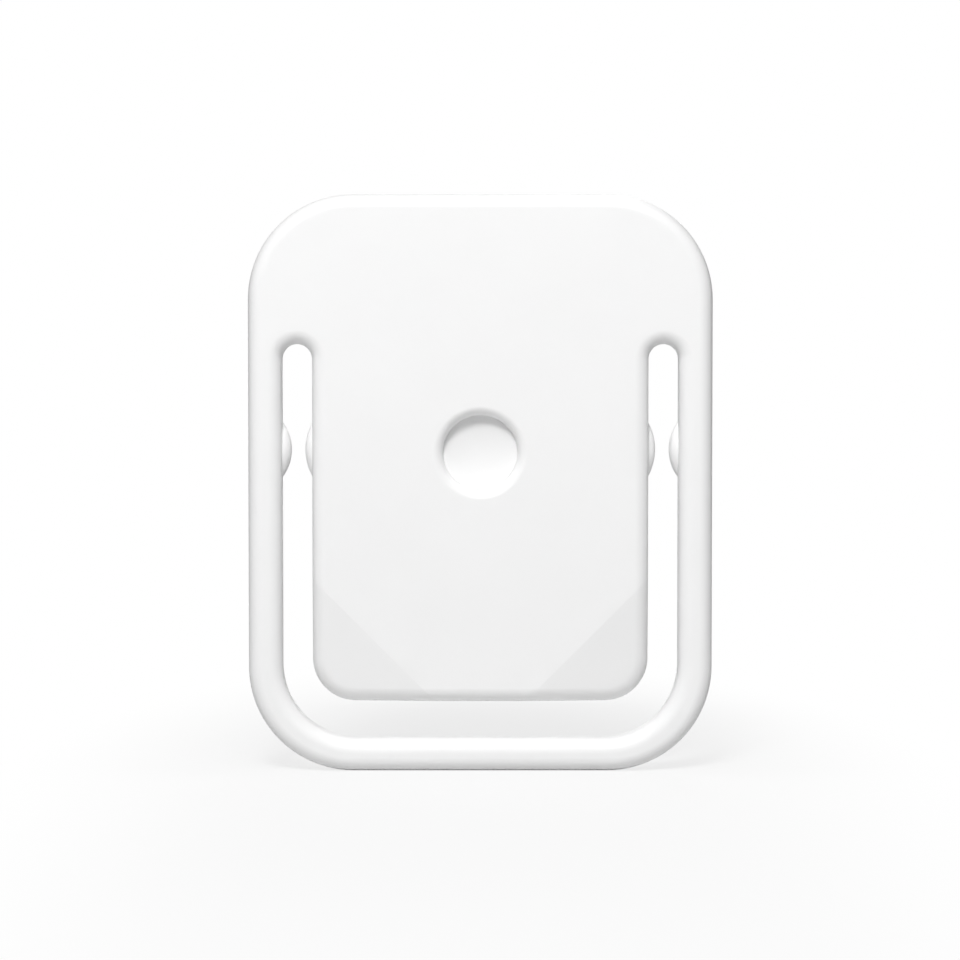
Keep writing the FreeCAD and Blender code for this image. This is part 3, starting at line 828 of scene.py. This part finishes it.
# Builds one finish from nodes, from the object's own coordinates in mm
class Finish:
    def __init__(self, name, v):
        self.v = v
        self.material, self.tree, self.shader = newMaterial(name)
        self.add = self.tree.nodes.new
        self.link = self.tree.links.new
        self.where = self.add("ShaderNodeTexCoord").outputs["Object"]
        self.shader.inputs["Metallic"].default_value = v.get("metal", 0.0)
        self.shader.inputs["Transmission Weight"].default_value = v.get("clear", 0.0)
        self.shader.inputs["Specular IOR Level"].default_value = v.get("gloss", 0.5)
        self.stretch = v.get("stretch", (1, 1, 1))
        self.colour()
        self.roughness()
        self.relief()

    def place(self, stretch=(1, 1, 1), move=(0, 0, 0)):
        mapping = self.add("ShaderNodeMapping")
        mapping.inputs["Scale"].default_value = [s / mm for s in stretch]
        mapping.inputs["Location"].default_value = move
        self.link(self.where, mapping.inputs["Vector"])
        return mapping.outputs[0]

    def noise(self, size, detail, stretch=(1, 1, 1), move=(0, 0, 0)):
        made = self.add("ShaderNodeTexNoise")
        made.inputs["Scale"].default_value = 1 / size
        made.inputs["Detail"].default_value = detail
        self.link(self.place(stretch, move), made.inputs["Vector"])
        return made.outputs[0]

    # Lines of copper under the mask, in patches that run upright or level
    def tracks(self):
        b = finishBuild
        lines = []
        for direction in ("X", "Z"):
            wave = self.add("ShaderNodeTexWave")
            wave.bands_direction = direction
            wave.inputs["Scale"].default_value = b["waveLength"] / self.v["pitch"]
            self.link(self.place(), wave.inputs["Vector"])
            lines.append(spanNode(self.tree, wave.outputs["Fac"], b["trackEdge"], (0, 1)))
        patches = self.noise(b["trackPatch"], 0.0, move=b["trackMove"])
        choice = spanNode(self.tree, patches, b["trackChoice"], (0, 1))
        upright = mathNode(self.tree, "MULTIPLY", lines[0], choice)
        level = mathNode(self.tree, "MULTIPLY", lines[1], mathNode(self.tree, "SUBTRACT", 1.0, choice))
        return mathNode(self.tree, "ADD", upright, level)

    # Fine grooves left by turning
    def rings(self):
        grooves = self.add("ShaderNodeTexNoise")
        grooves.noise_dimensions = "1D"
        grooves.inputs["Scale"].default_value = 1 / self.v["pitch"]
        grooves.inputs["Detail"].default_value = finishBuild["grainDetail"]
        away = lengthNode(self.tree, self.place((1, 0, 1), (0, 0, -self.v["centre"])))
        self.link(away, grooves.inputs["W"])
        return grooves.outputs[0]

    def cells(self):
        made = self.add("ShaderNodeTexVoronoi")
        made.inputs["Scale"].default_value = 1 / self.v["grain"]
        self.link(self.place(), made.inputs["Vector"])
        return made.outputs["Distance"]

    def creases(self):
        return self.noise(self.v["grain"], finishBuild["creaseDetail"], finishBuild["creaseStretch"])

    def grain(self):
        return self.noise(self.v["grain"], finishBuild["grainDetail"], self.stretch)

    def pattern(self):
        made = {"tracks": self.tracks, "rings": self.rings, "cells": self.cells, "creases": self.creases}
        return made.get(self.v.get("pattern"), self.grain)()

    def colour(self):
        v = self.v
        if v.get("pattern") in ("tracks", "cells"):
            shade = self.pattern()
        else:
            shade = self.noise(v["patch"], finishBuild["patchDetail"])
        mix = self.add("ShaderNodeMix")
        mix.data_type = "RGBA"
        factor, first, second = mix.inputs[0], mix.inputs[6], mix.inputs[7]
        self.link(spanNode(self.tree, shade, finishBuild["noiseSpan"], (0, 1)), factor)
        first.default_value = (*v["first"], 1)
        second.default_value = (*v["second"], 1)
        self.link(mix.outputs[2], self.shader.inputs["Base Color"])

    def roughness(self):
        b = finishBuild
        if self.v.get("pattern") == "rings":
            shade = self.pattern()
        else:
            patch = self.v["patch"] * b["roughPatch"]
            shade = self.noise(patch, b["roughDetail"], self.stretch, b["roughMove"])
        rough = spanNode(self.tree, shade, b["noiseSpan"], self.v["rough"])
        self.link(rough, self.shader.inputs["Roughness"])

    def relief(self):
        made = self.add("ShaderNodeBump")
        made.inputs["Strength"].default_value = 1.0
        made.inputs["Distance"].default_value = self.v["depth"] * mm
        self.link(self.pattern(), made.inputs["Height"])
        self.link(made.outputs[0], self.shader.inputs["Normal"])


materials = {slot: Finish(slot, v).material for slot, v in finishes.items()}
slotOf = {item["node"]: item["material_slot"] for item in frame["record"]["subparts"]}
for name, node in nodes.items():
    node.data.materials.clear()
    node.data.materials.append(materials[slotOf[name]])
print("finishes made:", len(materials))


# Geometry Nodes tree that sets copies of one small mesh in a row
def rowTree():
    tree = bpy.data.node_groups.new("copies in a row", "GeometryNodeTree")
    tree.interface.new_socket("Geometry", in_out="INPUT", socket_type="NodeSocketGeometry")
    tree.interface.new_socket("Geometry", in_out="OUTPUT", socket_type="NodeSocketGeometry")
    for label, kind in (("Count", "Int"), ("Pitch", "Float"), ("Place", "Vector"), ("Finish", "Material")):
        tree.interface.new_socket(label, in_out="INPUT", socket_type="NodeSocket" + kind)
    add = tree.nodes.new
    link = tree.links.new
    start = add("NodeGroupInput")
    end = add("NodeGroupOutput")
    step = add("ShaderNodeCombineXYZ")
    link(start.outputs["Pitch"], step.inputs["X"])
    line = add("GeometryNodeMeshLine")
    link(start.outputs["Count"], line.inputs["Count"])
    link(start.outputs["Place"], line.inputs["Start Location"])
    link(step.outputs[0], line.inputs["Offset"])
    copies = add("GeometryNodeInstanceOnPoints")
    link(line.outputs[0], copies.inputs["Points"])
    link(start.outputs["Geometry"], copies.inputs["Instance"])
    real = add("GeometryNodeRealizeInstances")
    link(copies.outputs[0], real.inputs[0])
    paint = add("GeometryNodeSetMaterial")
    link(real.outputs[0], paint.inputs["Geometry"])
    link(start.outputs["Finish"], paint.inputs["Material"])
    link(paint.outputs[0], end.inputs[0])
    return tree


def makePins():
    c = charging
    profile = [(0, c["pinBack"]), (c["pinRadius"], c["pinBack"]), (c["pinRadius"], c["flangeStart"])]
    profile += [(c["flangeRadius"], c["flangeStart"]), (c["flangeRadius"], c["flangeEnd"])]
    profile += [(c["pinRadius"], c["flangeEnd"])]
    profile += roundEdge(c["pinRadius"], c["pinEnd"], c["pinRound"])[::-1] + [(0, c["pinEnd"])]
    pins = turned("gold_pins", profile, 0, 0, c["pinFaces"])
    finishMesh(pins)
    firstPin = -(c["count"] - 1) / 2 * c["pitch"] * mm
    wanted = {"Count": c["count"], "Pitch": c["pitch"] * mm, "Place": (firstPin, 0, c["height"] * mm)}
    wanted["Finish"] = materials["contact_gold"]
    change = pins.modifiers.new("copies", "NODES")
    change.node_group = rowTree()
    for item in change.node_group.interface.items_tree:
        if item.in_out == "INPUT" and item.name in wanted:
            change[item.identifier] = wanted[item.name]
    applyModifiers(pins)
    return pins


pins = makePins()
print("pins made")

# Piece: the body that it rides on, the node that it stands for and its material slot
pieces = {
    "front_moulding": (shell, "housing", "front_shell", "shell_white"),
    "rear_moulding": (cover, "housing", "rear_cover", "cover_white"),
    "button_dish": (cap, "button", "button_cap", "shell_white"),
    "skin_disc": (disc, "housing", "contact_disc", "disc_steel"),
    "soft_ring": (ring, "housing", "sensor_ring", "ring_grey"),
    "gold_pins": (pins, "housing", "charge_contacts", "contact_gold"),
}
for name, (piece, rider, node, slot) in pieces.items():
    piece.name = name
    piece.data.materials.clear()
    piece.data.materials.append(materials[slot])
    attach(piece, rider)
    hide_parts(node)
print("pieces placed:", len(pieces))

# Lamps: place and size in mm, power in watts
lights = {
    "key": {"at": (0, -300, 324), "size": 110, "power": 0.22},
    "keyLeft": {"at": (-60, -297, 322), "size": 110, "power": 1.11},
    "steep": {"at": (0, -190, 400), "size": 260, "power": 0.62},
    "left": {"at": (-420, -180, 160), "size": 260, "power": 0.1},
    "right": {"at": (420, -180, 160), "size": 260, "power": 0.1},
    "back": {"at": (0, 450, 40), "size": 260, "power": 1.7, "mirrored": False},
    "backSheen": {"at": (90, 400, 330), "size": 160, "power": 0.3},
}
lightAim = (0, 0, 24)


def makeLight(name, v):
    data = bpy.data.lights.new(name, "AREA")
    data.shape = "DISK"
    data.size = v["size"] * mm
    data.energy = v["power"]
    lamp = bpy.data.objects.new(name, data)
    bpy.context.scene.collection.objects.link(lamp)
    lamp.location = Vector(v["at"]) * mm
    lamp.visible_camera = False
    lamp.visible_glossy = v.get("mirrored", True)
    aim = Vector(lightAim) - Vector(v["at"])
    lamp.rotation_euler = aim.to_track_quat("-Z", "Y").to_euler()


for name, v in lights.items():
    makeLight(name, v)

stage = {
    "floor": 4000,
    "grey": 0.69,  # the floor's own colour
    "rough": 0.8,
    "behindWhite": 0.77,  # share of plain white in the floor's tone, close behind the object
    "frontWhite": 0.83,  # and in front of it
    "frontFrom": 0,
    "frontTo": -12,
    "depthShare": 0.45,  # how much less the fade counts depth than width
    "fadeFrom": 14,
    "fadeTo": 42,
    "reflected": 0.22,  # of plain white, for what the gloss shows of the room
}


# Floor that keeps the object's shadow and fades to plain white for the camera further out
def makeFloor(v):
    mesh = bpy.data.meshes.new("floor")
    half = v["floor"] * mm / 2
    corners = [(-half, -half, 0), (half, -half, 0), (half, half, 0), (-half, half, 0)]
    mesh.from_pydata(corners, [], [(0, 1, 2, 3)])
    floor = bpy.data.objects.new("floor", mesh)
    bpy.context.scene.collection.objects.link(floor)
    material, tree, shader = newMaterial("floorWhite")
    mesh.materials.append(material)
    link = tree.links.new
    shader.inputs["Base Color"].default_value = (v["grey"], v["grey"], v["grey"], 1)
    shader.inputs["Roughness"].default_value = v["rough"]
    shader.inputs["Specular IOR Level"].default_value = 0.0
    white = tree.nodes.new("ShaderNodeEmission")
    white.inputs["Color"].default_value = (1, 1, 1, 1)
    where = tree.nodes.new("ShaderNodeTexCoord")
    split = tree.nodes.new("ShaderNodeSeparateXYZ")
    link(where.outputs["Object"], split.inputs[0])
    frontSpan = (v["frontTo"] * mm, v["frontFrom"] * mm)
    near = spanNode(tree, split.outputs["Y"], frontSpan, (v["frontWhite"], v["behindWhite"]), "SMOOTHSTEP")
    behind = mathNode(tree, "MAXIMUM", split.outputs["Y"], 0.0)
    flat = tree.nodes.new("ShaderNodeCombineXYZ")
    link(split.outputs["X"], flat.inputs["X"])
    link(mathNode(tree, "MULTIPLY", behind, v["depthShare"]), flat.inputs["Y"])
    away = lengthNode(tree, flat.outputs[0])
    fade = spanNode(tree, away, (v["fadeFrom"] * mm, v["fadeTo"] * mm), (near, 1.0), "SMOOTHSTEP")
    rays = tree.nodes.new("ShaderNodeLightPath")
    mix = tree.nodes.new("ShaderNodeMixShader")
    link(mathNode(tree, "MULTIPLY", fade, rays.outputs["Is Camera Ray"]), mix.inputs[0])
    link(shader.outputs[0], mix.inputs[1])
    link(white.outputs[0], mix.inputs[2])
    link(mix.outputs[0], tree.nodes["Material Output"].inputs[0])


# White for the camera and through clear pieces, dimmer in what the gloss mirrors, no light by itself
def makeWorld(v):
    world = bpy.data.worlds.new("world")
    bpy.context.scene.world = world
    world.use_nodes = True
    tree = world.node_tree
    background = tree.nodes["Background"]
    background.inputs["Color"].default_value = (1, 1, 1, 1)
    rays = tree.nodes.new("ShaderNodeLightPath")
    strength = rays.outputs["Is Camera Ray"]
    for kind, share in (("Is Transmission Ray", 1.0), ("Is Glossy Ray", v["reflected"])):
        strength = mathNode(tree, "MULTIPLY_ADD", rays.outputs[kind], share, strength)
    tree.links.new(strength, background.inputs["Strength"])


makeFloor(stage)
makeWorld(stage)
bpy.context.scene.view_settings.view_transform = "Standard"
print("stage and lamps made")
